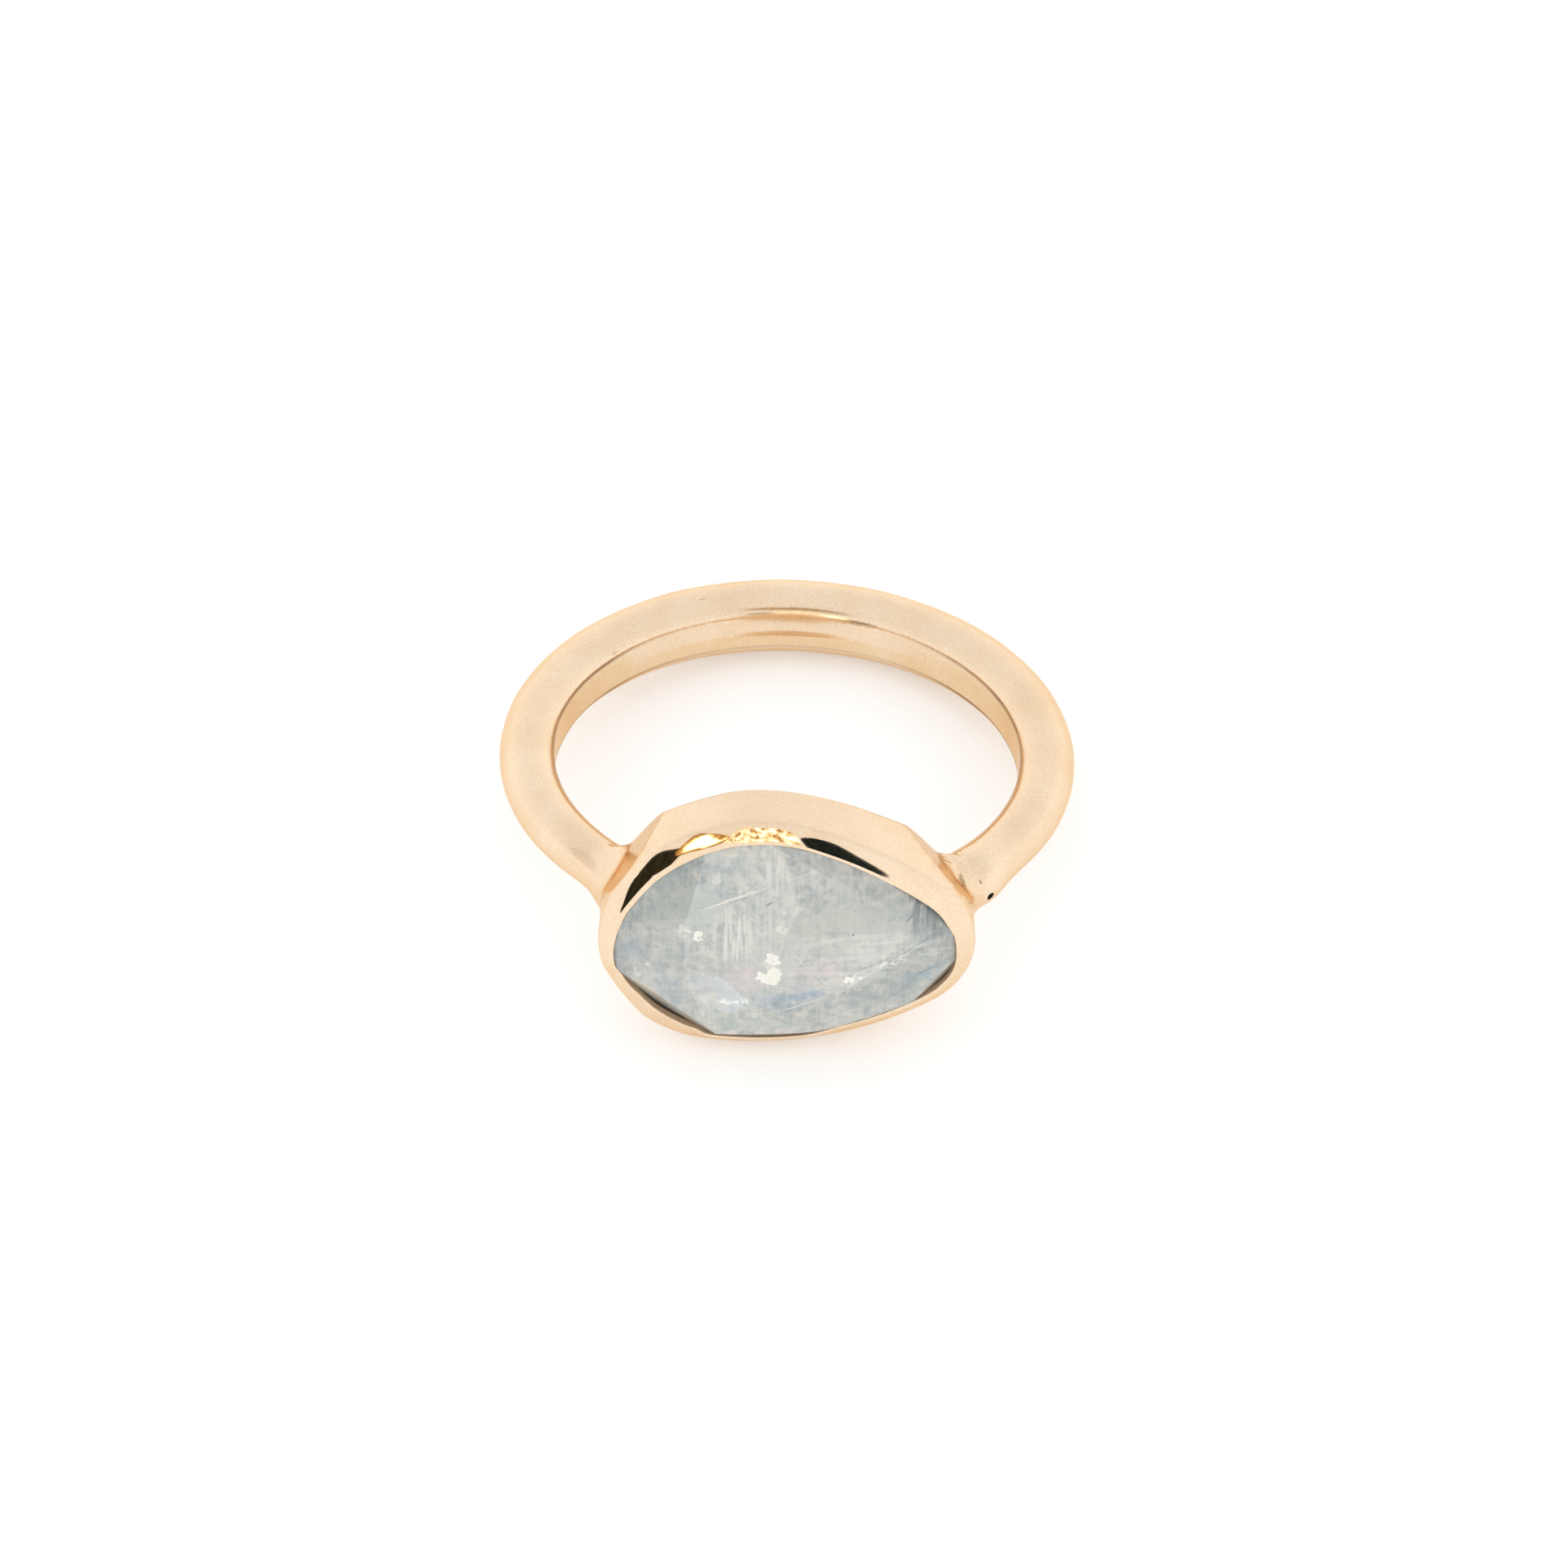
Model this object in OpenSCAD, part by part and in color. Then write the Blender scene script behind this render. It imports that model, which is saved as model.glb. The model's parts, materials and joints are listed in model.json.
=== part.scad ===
// Gold ring with one rose-cut moonstone.
// A round wire, thick at the back and thinner towards the stone, forms the shank. A cup with
// a solid floor, filed to the curve of the finger and flat along its back edges, is soldered
// to the wire and holds the stone under its pressed-over rim. The ring lies on its side: the
// plane z = 0 touches the cup's lower edge and the back of the shank.
// Sizes are in millimetres.

/* [Finger hole] */
// Inner diameter of the ring
finger_d = 17; // [16.4:0.1:17.6]

/* [Shank] */
// Diameter of the wire at the back of the finger
wire_back_d = 2.8; // [2.6:0.02:2.9]
// Diameter that the wire would taper to behind the middle of the cup
wire_front_d = 1.74; // [1.66:0.02:1.9]
// Width of the flat band that the finger hole leaves along the inside
flat_w = 1.3; // [1:0.05:1.4]
// Diameter of the casting pit beside the right joint
pit_d = 0.3; // [0.2:0.05:0.4]

/* [Cup] */
// Middle of the cup across the ring, to the right of the finger hole's axis
cup_x = 0.15; // [-0.5:0.05:0.5]
// Middle of the cup along the finger, above the middle of the shank
cup_z = 0.2; // [-0.4:0.05:0.4]
// Thickness of the wall round the stone
wall_t = 0.45; // [0.4:0.05:0.5]
// Width of the ledge that carries the stone, wall included
ledge_w = 0.95; // [0.8:0.05:1.2]
// Height of the ledge above the finger hole
ledge_h = 0.9; // [0.8:0.02:1]
// Depth of the cup's floor below the ledge
floor_drop = 0.1; // [0.05:0.05:0.3]
// Height at which the wall bends over into the rim
bend_h = 2.06; // [2:0.02:2.1]
// Height of the rim's crest
rim_h = 2.38; // [2.34:0.02:2.44]
// How far the crest leans in over the stone
rim_in = 0.7; // [0.6:0.02:0.74]
// Radius of the bend between the wall and the rim
bend_r = 0.2; // [0.1:0.05:0.3]

/* [Stone] */
// Height of the stone's flat base above the finger hole
stone_base_h = 0.96; // [0.94:0.01:1]
// Height of the girdle's top edge, hidden under the rim
girdle_h = 1.72; // [1.66:0.02:1.76]
// Gap between the girdle and the cup's wall
girdle_gap = 0.08; // [0.06:0.01:0.1]
// Height at which the facets leave the rim
crown_h = 2.34; // [2.3:0.02:2.36]
// Height of the small table
table_h = 3.34; // [3.28:0.02:3.38]

/* [Lying] */
// Sideways rock at which the lying ring balances, right side down
rest_rock = 2; // [0:0.1:4]

/* [Hidden] */

finger_r = finger_d / 2;
wire_stations = 72;
wire_sides = 20;
wall_stations = 90;
cut = 0.5;

// The cup's outline is five arcs, each tangent to the next, that meet at these directions
// of the outward normal: upper right, crown, heel, belly and nose.
meets = [53, 73, 158, 263.5, 305.5, 413];
// Radii of the upper right, the crown and the heel; the belly and the nose close the loop.
set_radii = [14.2, 5.8, 4.3];

// Solder that swells the wire at the left and the right joint: angle from the back of the
// ring, extra radius of the wire and half the angle over which it fades.
solder = [
    [-141, 0.12, 4.5],
    [136, 0.17, 7],
];

// Flats filed along the cup's back edge, from the left shoulder to the right one: the direction
// that each faces, how steeply it looks up or down, and its distance from the middle of the
// finger hole.
flats = [
    [168, 32, 3.98],
    [112.6, 44.1, -1.78],
    [90, 20, -6.34],
    [61.4, 48.2, -1],
    [20.5, 38, 2.84],
];

// Corners of the inner star of facets: x, y and height above the finger hole.
star = [
    [-3.43, 1.38, 3.05],
    [1.15, 3.26, 2.85],
    [5.10, 0.80, 2.62],
    [1.80, -1.83, 3.00],
    [-0.59, -3.06, 2.88],
    [-3.50, -1.08, 2.98],
];
// Where the star's ridges would meet above the table.
apex = [-0.10, 0.91, 3.42];
// Corners at which the facets reach the rim: direction of the outline's normal and inset.
rim_corners = [
    [196, 0.83],
    [229, 1.12],
    [256, 1.04],
    [264, 0.84],
    [284, 0.82],
    [302, 0.82],
    [342, 0.84],
    [19, 0.86],
    [61, 0.88],
    [71, 0.84],
    [90, 0.83],
    [113, 0.85],
    [141, 0.88],
    [165, 0.84],
];

// Outline of the cup

function turn(from, to) = [sin(to) - sin(from), cos(from) - cos(to)];
arc_turns = [for (i = [0:4]) turn(meets[i], meets[i + 1])];
open_gap = -(set_radii[0] * arc_turns[0] + set_radii[1] * arc_turns[1] + set_radii[2] * arc_turns[2]);
closing = cross(arc_turns[3], arc_turns[4]);
radii = concat(set_radii, [cross(open_gap, arc_turns[4]) / closing, cross(arc_turns[3], open_gap) / closing]);

function raw_centre(i) = i == 0 ? [0, 0]
    : raw_centre(i - 1) + (radii[i - 1] - radii[i]) * [cos(meets[i]), sin(meets[i])];
outline_left = raw_centre(2).x - radii[2];
outline_right = raw_centre(4).x + radii[4];
outline_low = raw_centre(3).y - radii[3];
outline_high = raw_centre(1).y + radii[1];
function centre(i) = raw_centre(i) - [outline_left + outline_right, outline_low + outline_high] / 2;

// A point of the outline, moved in by an inset, where the outward normal has this direction.
function arc_of(dir, i = 0) = i == 4 || dir < meets[i + 1] ? i : arc_of(dir, i + 1);
function outline_point(dir, inset) = let (d = dir < meets[0] ? dir + 360 : dir, i = arc_of(d))
    centre(i) + (radii[i] - inset) * [cos(d), sin(d)];
function outline(inset) =
    [for (i = [0:wall_stations - 1]) outline_point(meets[0] + (i + 0.5) * 360 / wall_stations, inset)];

// Points of an arc of radius r that rounds the corner b between a and c.
function unit(v) = v / norm(v);
function rounded(a, b, c, r, steps = 6) = let (
        u = unit(a - b), w = unit(c - b), half = acos(u * w) / 2,
        middle = b + unit(u + w) * r / sin(half), first = b + u * r / tan(half),
        side = cross(first - middle, c - b) > 0 ? 1 : -1, sweep = 180 - 2 * half
    ) [for (k = [0:steps]) let (t = side * sweep * k / steps, v = first - middle)
        middle + [v.x * cos(t) - v.y * sin(t), v.x * sin(t) + v.y * cos(t)]];

// Shank

function swell(angle, s) = s[1] * exp(-pow((angle - s[0]) / s[2], 2));
function wire_r(angle) = (wire_back_d + wire_front_d) / 4 + (wire_back_d - wire_front_d) / 4 * cos(angle)
    + swell(angle, solder[0]) + swell(angle, solder[1]);
function wire_centre_r(angle) = finger_r + sqrt(pow(wire_r(angle), 2) - pow(flat_w / 2, 2));
function wire_point(angle, around) = let (r = wire_centre_r(angle) + wire_r(angle) * cos(around))
    [r * sin(angle), r * cos(angle), wire_r(angle) * sin(around)];

module wire_hoop() {
    function at(i, k) = (i % wire_stations) * wire_sides + k % wire_sides;
    triangles = [for (i = [0:wire_stations - 1], k = [0:wire_sides - 1], half = [0, 1])
        half == 0 ? [at(i, k), at(i + 1, k), at(i + 1, k + 1)] : [at(i, k), at(i + 1, k + 1), at(i, k + 1)]];
    polyhedron(hoop_points, triangles);
}

module pit() {
    pit_angle = 136;
    pit_z = -0.2;
    pit_depth = 0.3;
    outer_r = wire_centre_r(pit_angle) + wire_r(pit_angle);
    rotate([0, 0, 90 - pit_angle]) translate([outer_r - pit_depth, 0, pit_z]) rotate([0, 90, 0])
        cylinder(h = pit_depth + cut, d = pit_d, $fn = 24);
}

// Cup, drawn with its outline in the xy plane and z outwards from the finger hole's axis

function wall_section() = let (
        foot_h = -4, foot = [0, foot_h], crest = [rim_in, rim_h],
        bend = rounded(foot, [0, bend_h], crest, bend_r)
    ) concat([foot], bend, [crest, [rim_in + 0.05, rim_h - 0.06], [wall_t, bend_h - 0.1],
        [wall_t, ledge_h], [ledge_w, ledge_h], [ledge_w, foot_h]]);

module cup_wall() {
    section = wall_section();
    sides = len(section);
    points = [for (i = [0:wall_stations - 1], p = section)
        let (o = outline_point(meets[0] + (i + 0.5) * 360 / wall_stations, p[0])) [o.x, o.y, finger_r + p[1]]];
    function at(i, k) = (i % wall_stations) * sides + k % sides;
    triangles = [for (i = [0:wall_stations - 1], k = [0:sides - 1], half = [0, 1])
        half == 0 ? [at(i, k), at(i + 1, k + 1), at(i + 1, k)] : [at(i, k), at(i, k + 1), at(i + 1, k + 1)]];
    polyhedron(points, triangles);
}

module outline_prism(inset, low, high) {
    translate([0, 0, low]) linear_extrude(high - low) polygon(outline(inset));
}

module set_in_ring() {
    translate([cup_x, 0, cup_z]) rotate([90, 0, 0]) children();
}

module cup_floor() {
    set_in_ring() outline_prism(ledge_w - 0.2, 4.5, finger_r + ledge_h - floor_drop);
}

// One flat filed across the upper back edge of the cup, and its twin below.
module back_flats(facing, slope, distance) {
    size = 30;
    for (side = [-1, 1]) rotate([0, side * slope, facing]) translate([distance, -size / 2, -size / 2])
        cube(size);
}

module finger_bore() {
    cylinder(h = 30, r = finger_r, center = true, $fn = 96);
}

// Lying on its side: the ring rocks, then tips back until the cup's lower edge and the
// underside of the shank are down together.

hoop_points = [for (i = [0:wire_stations - 1], k = [0:wire_sides - 1])
    wire_point(360 * i / wire_stations - 180, 360 * k / wire_sides)];
cup_edge = [for (o = outline(0)) let (x = cup_x + o.x) [x, -sqrt(pow(finger_r, 2) - pow(x, 2)), cup_z + o.y]];

function axis_up(pitch) = [-sin(rest_rock), -cos(rest_rock) * sin(pitch), cos(rest_rock) * cos(pitch)];
function low(points, pitch) = min(points * axis_up(pitch));
function settle(pitch, rounds) = rounds == 0 ? pitch
    : settle(pitch + atan((low(hoop_points, pitch) - low(cup_edge, pitch)) / (2 * finger_r)), rounds - 1);
rest_pitch = settle(10, 6);
rest_lift = -low(hoop_points, rest_pitch);

module lying() {
    front = cos(rest_pitch) * (finger_r + table_h);
    back = max([for (p = hoop_points) p.y]) * cos(rest_pitch);
    translate([0, (front - back) / 2, rest_lift]) rotate([-rest_pitch, rest_rock, 0]) children();
}

// Nodes

module ring_body() {
    color("#EBC8A0") lying() difference() {
        union() {
            difference() {
                wire_hoop();
                set_in_ring() outline_prism(wall_t / 2, 2, finger_r + 3);
                pit();
            }
            difference() {
                union() {
                    set_in_ring() cup_wall();
                    cup_floor();
                }
                for (f = flats) back_flats(f[0], f[1], f[2]);
            }
        }
        finger_bore();
    }
}

module moonstone() {
    cut_share = (apex.z - table_h);
    table = [for (s = star) let (f = cut_share / (apex.z - s.z), p = apex + f * (s - apex)) [p.x, p.y, table_h]];
    girdle_in = wall_t + girdle_gap;
    function ring(h, inset) = [for (c = rim_corners) let (p = outline_point(c[0], inset)) [p.x, p.y, h]];
    at_rim = [for (c = rim_corners) let (p = outline_point(c[0], c[1])) [p.x, p.y, crown_h]];
    heights = concat(table, star, at_rim, ring(girdle_h, girdle_in), ring(stone_base_h, girdle_in));
    color("#C3CCCE") lying() set_in_ring() translate([0, 0, finger_r])
        hull() polyhedron(heights, [[for (i = [0:len(heights) - 1]) i]]);
}

ring_body();
moonstone();
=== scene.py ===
import json
import math

import bmesh
import bpy
from mathutils import Matrix, Vector, noise
from mathutils.bvhtree import BVHTree


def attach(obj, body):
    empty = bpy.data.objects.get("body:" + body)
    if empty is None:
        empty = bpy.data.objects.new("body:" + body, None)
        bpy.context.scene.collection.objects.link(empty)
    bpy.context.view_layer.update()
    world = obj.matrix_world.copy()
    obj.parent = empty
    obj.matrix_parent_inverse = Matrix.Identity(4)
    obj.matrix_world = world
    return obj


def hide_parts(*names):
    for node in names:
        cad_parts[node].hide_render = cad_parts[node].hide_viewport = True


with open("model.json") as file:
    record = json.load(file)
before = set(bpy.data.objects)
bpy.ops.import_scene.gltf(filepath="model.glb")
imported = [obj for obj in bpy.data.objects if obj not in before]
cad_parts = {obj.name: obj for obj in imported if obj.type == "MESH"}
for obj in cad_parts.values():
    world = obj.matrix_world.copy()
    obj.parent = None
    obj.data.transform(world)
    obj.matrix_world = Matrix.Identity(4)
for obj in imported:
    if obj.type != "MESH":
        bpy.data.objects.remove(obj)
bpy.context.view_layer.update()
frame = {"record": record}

# Shank. A round wire of 14 carat rose gold, bent round a mandrel that leaves a narrow flat band
# along the inside. It is thick at the back and filed thinner towards the stone, and its two ends
# are soldered to the cup.

# Sizes are in millimetres in the ring's own frame: the finger's axis is Z, the stone looks along
# -Y, and angles are counted from the back of the ring.
MM = 0.001
FINGER_R = 8.5
WIRE_BACK_R = 1.4
WIRE_FRONT_R = 0.87
BAND_HALF = 0.65
WIRE_END = 145.5
# Radius on which the wire is spun before each line of it takes its true place.
SPIN_R = 10
WIRE_STATIONS = 240
WIRE_SIDES = 72
BAND_LINES = 12
# How round the edges of the band are, and how far round the wire, in radians, the band counts.
EDGE_CRISP = 0.008
UPPER_WEAR = 0.16
LOWER_WEAR = 0.02
NEAR_BAND = 1.4
# Waves that the hand file left in the wire: width and depth.
FILE_WAVES = ((2.2, 0.04), (0.5, 0.006))
# Solder that swells the wire at each joint: angle, extra radius and half the angle of its fade.
SOLDER = [(-141, 0.12, 4.5), (136, 0.17, 7)]

# The lying ring's frame comes from the finger hole: its axis and the middle of its wall.
BORE_MIDDLE = 0.115
bore = frame["record"]["mounts"][0]
bore_axis = Vector(bore["axis"]).normalized()
finger_middle = Vector(bore["pos_m"]) - bore_axis * BORE_MIDDLE * MM
tip = Matrix.Rotation(-math.asin(bore_axis.y), 4, "X")
rock = Matrix.Rotation(math.atan2(bore_axis.x, bore_axis.z), 4, "Y")
lie_down = Matrix.Translation(finger_middle) @ rock @ tip @ Matrix.Scale(MM, 4)


def wire_radius(angle):
    """Radius of the wire at an angle in degrees from the back of the ring, solder included."""
    taper = math.cos(math.radians(angle))
    radius = (WIRE_BACK_R + WIRE_FRONT_R) / 2 + (WIRE_BACK_R - WIRE_FRONT_R) / 2 * taper
    for place, swell, spread in SOLDER:
        radius += swell * math.exp(-(((angle - place) / spread) ** 2))
    return radius


def hand_filed(point, size, depth):
    """How much metal a file takes off the true surface at a point, as a negative height."""
    return depth * (noise.noise(point / size) - 1) / 2


def lumpy(point, coarse, fine, fine_share):
    """Height of lumps of two widths at a point, the finer ones a share as high as the others."""
    return noise.noise(point / coarse) + fine_share * noise.noise(point / fine)


def finish_piece(name, bm, sharp_deg, *materials):
    """Lays a modelled piece down, gives it its materials and hangs it on the ring."""
    bm.transform(lie_down)
    mesh = bpy.data.meshes.new(name)
    bm.to_mesh(mesh)
    bm.free()
    mesh.shade_smooth()
    mesh.set_sharp_from_angle(angle=math.radians(sharp_deg))
    for material in materials:
        mesh.materials.append(material)
    piece = bpy.data.objects.new(name, mesh)
    bpy.context.scene.collection.objects.link(piece)
    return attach(piece, "root")


def linear(hex_colour):
    """An sRGB hex colour as linear RGBA."""
    parts = [int(hex_colour[i:i + 2], 16) / 255 for i in (1, 3, 5)]
    return [c / 12.92 if c <= 0.04045 else ((c + 0.055) / 1.055) ** 2.4 for c in parts] + [1.0]


def put(tree, kind, inputs=None, **settings):
    """Adds a node, sets its properties, and fills or links its inputs."""
    node = tree.nodes.new(kind)
    for key, value in settings.items():
        setattr(node, key, value)
    for key, value in (inputs or {}).items():
        if isinstance(value, bpy.types.NodeSocket):
            tree.links.new(value, node.inputs[key])
        else:
            node.inputs[key].default_value = value
    return node


def new_material(name):
    """An empty material with its output node, its shader and its place in the ring's frame."""
    material = bpy.data.materials.new(name)
    material.use_nodes = True
    tree = material.node_tree
    tree.nodes.clear()
    shader = put(tree, "ShaderNodeBsdfPrincipled")
    put(tree, "ShaderNodeOutputMaterial", {"Surface": shader.outputs[0]})
    place = put(tree, "ShaderNodeTexCoord")
    stood_up = put(tree, "ShaderNodeMapping", {
        "Vector": place.outputs["Object"], "Location": lie_down.translation,
        "Rotation": lie_down.to_quaternion().to_euler(), "Scale": (MM, MM, MM)},
        vector_type="TEXTURE")
    return material, tree, shader, stood_up.outputs[0]


# Width of the grain in the gold, drawn coarser than the grit that left it so that it shows.
GRAIN = 0.1


def rose_gold(name, roughness, grain_depth, crease_shade=0.0, stains_and_shade=()):
    """Rose gold of 14 carat, a pale peach metal. Grit leaves a soft grain of about 0.1 mm, which
    blurs what it reflects, and wear leaves clouds and a few hair scratches. The crease shade is how
    strong a painted shade, a brown line, is along the edges of the band. The stains and shade are
    marks, some real stains and some painted shade: middle, half sizes, turn, colour and strength."""
    material, tree, shader, place = new_material(name)
    shader.inputs["Metallic"].default_value = 1.0
    shader.inputs["Specular Tint"].default_value = linear("#F8E6CE")
    cloud = put(tree, "ShaderNodeTexNoise", {"Vector": place, "Scale": 0.5, "Detail": 3.0})
    colour = put(tree, "ShaderNodeMix", {
        0: cloud.outputs[0], 6: linear("#EBD0B0"), 7: linear("#F8E8D2")}, data_type="RGBA")
    grain = put(tree, "ShaderNodeTexNoise", {
        "Vector": place, "Scale": 1.3 / GRAIN, "Detail": 2.0, "Roughness": 0.6})
    bright = put(tree, "ShaderNodeMapRange", {0: grain.outputs[0], 1: 0.3, 2: 0.7})
    grainy = put(tree, "ShaderNodeMix", {
        0: bright.outputs[0], 6: colour.outputs[2], 7: linear("#F6EEE2")},
        data_type="RGBA", blend_type="MULTIPLY")
    shown = grainy.outputs[2]
    rough = put(tree, "ShaderNodeMapRange", {
        0: grain.outputs[0], 3: roughness * 0.75, 4: roughness * 1.3})
    along = put(tree, "ShaderNodeMapping", {
        "Vector": place, "Rotation": (0.3, 0.5, 0.9), "Scale": (0.5, 7.0, 2.0)})
    hair = put(tree, "ShaderNodeTexNoise", {"Vector": along.outputs[0], "Scale": 2.0, "Detail": 1.0})
    scratch = put(tree, "ShaderNodeMapRange", {0: hair.outputs[0], 1: 0.70, 2: 0.74, 3: 0.0, 4: -1.0})
    height = put(tree, "ShaderNodeMath", {0: scratch.outputs[0], 1: 0.5, 2: grain.outputs[0]},
                 operation="MULTIPLY_ADD")
    if crease_shade:
        parts = put(tree, "ShaderNodeSeparateXYZ", {0: place})
        level = put(tree, "ShaderNodeVectorMath", {0: place, 1: (1, 1, 0)}, operation="MULTIPLY")
        reach = put(tree, "ShaderNodeVectorMath", {0: level.outputs[0]}, operation="LENGTH")
        off_bore = put(tree, "ShaderNodeMath", {0: reach.outputs["Value"], 1: FINGER_R},
                       operation="SUBTRACT")
        off_middle = put(tree, "ShaderNodeMath", {0: parts.outputs[2]}, operation="ABSOLUTE")
        off_edge = put(tree, "ShaderNodeMath", {0: off_middle.outputs[0], 1: BAND_HALF},
                       operation="SUBTRACT")
        apart = put(tree, "ShaderNodeCombineXYZ", {0: off_bore.outputs[0], 1: off_edge.outputs[0]})
        distance = put(tree, "ShaderNodeVectorMath", {0: apart.outputs[0]}, operation="LENGTH")
        # The band along the finger is drawn a little darker and yellower.
        band = put(tree, "ShaderNodeMapRange", {
            0: off_bore.outputs[0], 1: 0.02, 2: 0.05, 3: 1.0, 4: 0.0})
        band_tinted = put(tree, "ShaderNodeMix", {0: band.outputs[0], 6: shown, 7: linear("#FAF2E4")},
                     data_type="RGBA", blend_type="MULTIPLY")
        shown = band_tinted.outputs[2]
        # Painted shade: a brown line along the edges of the band, where the flat band meets the round
        # wire.
        line = put(tree, "ShaderNodeMapRange", {
            0: distance.outputs["Value"], 1: 0.04, 2: 0.11, 3: crease_shade, 4: 0.0})
        # The painted shade along the crease is weak at the back of the ring and stronger at its sides,
        # in patches.
        side = put(tree, "ShaderNodeMath", {0: parts.outputs[0]}, operation="ABSOLUTE")
        beside = put(tree, "ShaderNodeMapRange", {0: side.outputs[0], 1: 3.5, 2: 7.0, 3: 0.25, 4: 1.0})
        patches = put(tree, "ShaderNodeMapRange", {
            0: cloud.outputs[0], 1: 0.35, 2: 0.6, 3: 0.6, 4: 1.0})
        share = put(tree, "ShaderNodeMath", {0: line.outputs[0], 1: beside.outputs[0]},
                    operation="MULTIPLY")
        amount = put(tree, "ShaderNodeMath", {0: share.outputs[0], 1: patches.outputs[0]},
                     operation="MULTIPLY")
        crease_shaded = put(tree, "ShaderNodeMix", {0: amount.outputs[0], 6: shown, 7: linear("#6E4A2B")},
                      data_type="RGBA")
        shown = crease_shaded.outputs[2]
    # Marks mixed into the colour: real stains and scratches, and painted shade at the seam.
    for middle, half_sizes, turned, hex_colour, strength in stains_and_shade:
        spot = put(tree, "ShaderNodeMapping", {
            "Vector": place, "Location": middle, "Rotation": (0, 0, math.radians(turned)),
            "Scale": half_sizes}, vector_type="TEXTURE")
        reach = put(tree, "ShaderNodeVectorMath", {0: spot.outputs[0]}, operation="LENGTH")
        ragged = put(tree, "ShaderNodeMath", {0: grain.outputs[0], 1: -0.8, 2: reach.outputs["Value"]},
                     operation="MULTIPLY_ADD")
        dark = put(tree, "ShaderNodeMapRange", {
            0: ragged.outputs[0], 1: 0.0, 2: 0.6, 3: strength, 4: 0.0},
            interpolation_type="SMOOTHSTEP")
        spot_tint = put(tree, "ShaderNodeMix", {0: dark.outputs[0], 6: shown, 7: linear(hex_colour)},
                    data_type="RGBA")
        shown = spot_tint.outputs[2]
    tree.links.new(shown, shader.inputs["Base Color"])
    tree.links.new(rough.outputs[0], shader.inputs["Roughness"])
    if grain_depth:
        bump = put(tree, "ShaderNodeBump", {
            "Height": height.outputs[0], "Strength": 1.0, "Distance": grain_depth * MM})
        tree.links.new(bump.outputs[0], shader.inputs["Normal"])
    return material


# A darker, greyer patch beside the left joint and two short scratches on the back.
SHANK_MARKS = [((-7.0, -7.1, 0.62), (1.3, 0.8, 0.22), -46, "#C4A588", 0.4),
                ((-6.61, 5.57, 0.85), (0.25, 0.03, 0.2), 50, "#A88A6C", 0.5),
                ((-3.41, 8.69, 1.33), (0.2, 0.04, 0.1), 20, "#A88A6C", 0.5)]
# Rubbed with fine grit and buffed by hand: a soft satin shine.
satin_gold = rose_gold("rose_gold_satin", 0.17, 0.003, crease_shade=0.9, stains_and_shade=SHANK_MARKS)


def turned_from_back(point):
    """Angle of a point round the finger, in degrees from the back of the ring."""
    return math.degrees(math.atan2(point.x, point.y))


wire = bmesh.new()
wire_start = (Matrix.Rotation(math.radians(WIRE_END), 4, "Z") @ Matrix.Translation((0, SPIN_R, 0))
              @ Matrix.Rotation(math.pi / 2, 4, "Y"))
bmesh.ops.create_circle(wire, segments=WIRE_SIDES, radius=1, matrix=wire_start)
bmesh.ops.spin(wire, geom=wire.verts[:] + wire.edges[:], cent=(0, 0, 0), axis=(0, 0, 1),
               angle=-math.radians(2 * WIRE_END), steps=WIRE_STATIONS)
for vert in wire.verts:
    angle = turned_from_back(vert.co)
    radius = wire_radius(angle)
    middle = FINGER_R + math.sqrt(radius ** 2 - BAND_HALF ** 2)
    # Lines of the mesh follow the two edges of the band, which the taper moves.
    around = math.atan2(vert.co.z, vert.co.xy.length - SPIN_R)
    band_edge = math.pi - math.asin(BAND_HALF / radius)
    line_edge = math.pi * (1 - BAND_LINES / WIRE_SIDES)
    if abs(around) <= line_edge + 1e-4:
        from_inside = math.pi - abs(around) * band_edge / line_edge
    else:
        up_band = BAND_HALF * (math.pi - abs(around)) / (math.pi - line_edge)
        from_inside = math.atan2(up_band, middle - FINGER_R)
    from_middle = radius
    if from_inside < NEAR_BAND:
        # The band's edges are worn round at the back of the ring and crisp at its sides.
        wear = EDGE_CRISP + (UPPER_WEAR if around > 0 else LOWER_WEAR) * math.exp(-((angle / 48) ** 2))
        flat = (middle - FINGER_R) / math.cos(from_inside)
        low = min(radius, flat)
        worn_off = math.exp((low - radius) / wear) + math.exp((low - flat) / wear)
        from_middle = low - wear * math.log(worn_off)
    reach = middle - from_middle * math.cos(from_inside)
    up = math.copysign(from_middle * math.sin(from_inside), around)
    outward = Vector((math.sin(math.radians(angle)), math.cos(math.radians(angle)), 0))
    point = outward * reach + Vector((0, 0, up))
    file_mark = sum(hand_filed(point, size, depth) for size, depth in FILE_WAVES)
    vert.co = point + (point - outward * middle).normalized() * file_mark
bmesh.ops.holes_fill(wire, edges=[edge for edge in wire.edges if edge.is_boundary])
bmesh.ops.recalc_face_normals(wire, faces=wire.faces)
joint_source = wire.copy()

# The casting pit beside the right joint, sunk into the wire's outer side.
PIT_ANGLE = 136
PIT_Z = -0.2
PIT_R = 0.15
PIT_DEPTH = 0.3
PIT_FINE_R = 0.4
OUTER_SIDE = 9.6
pit_axis = Vector((math.sin(math.radians(PIT_ANGLE)), math.cos(math.radians(PIT_ANGLE)), 0))


def from_pit(point):
    """Distance of a point from the pit's axis, endless on the wire's inner side."""
    apart = point - Vector((0, 0, PIT_Z))
    out = apart.dot(pit_axis)
    return (apart - pit_axis * out).length if out > OUTER_SIDE else math.inf


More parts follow.
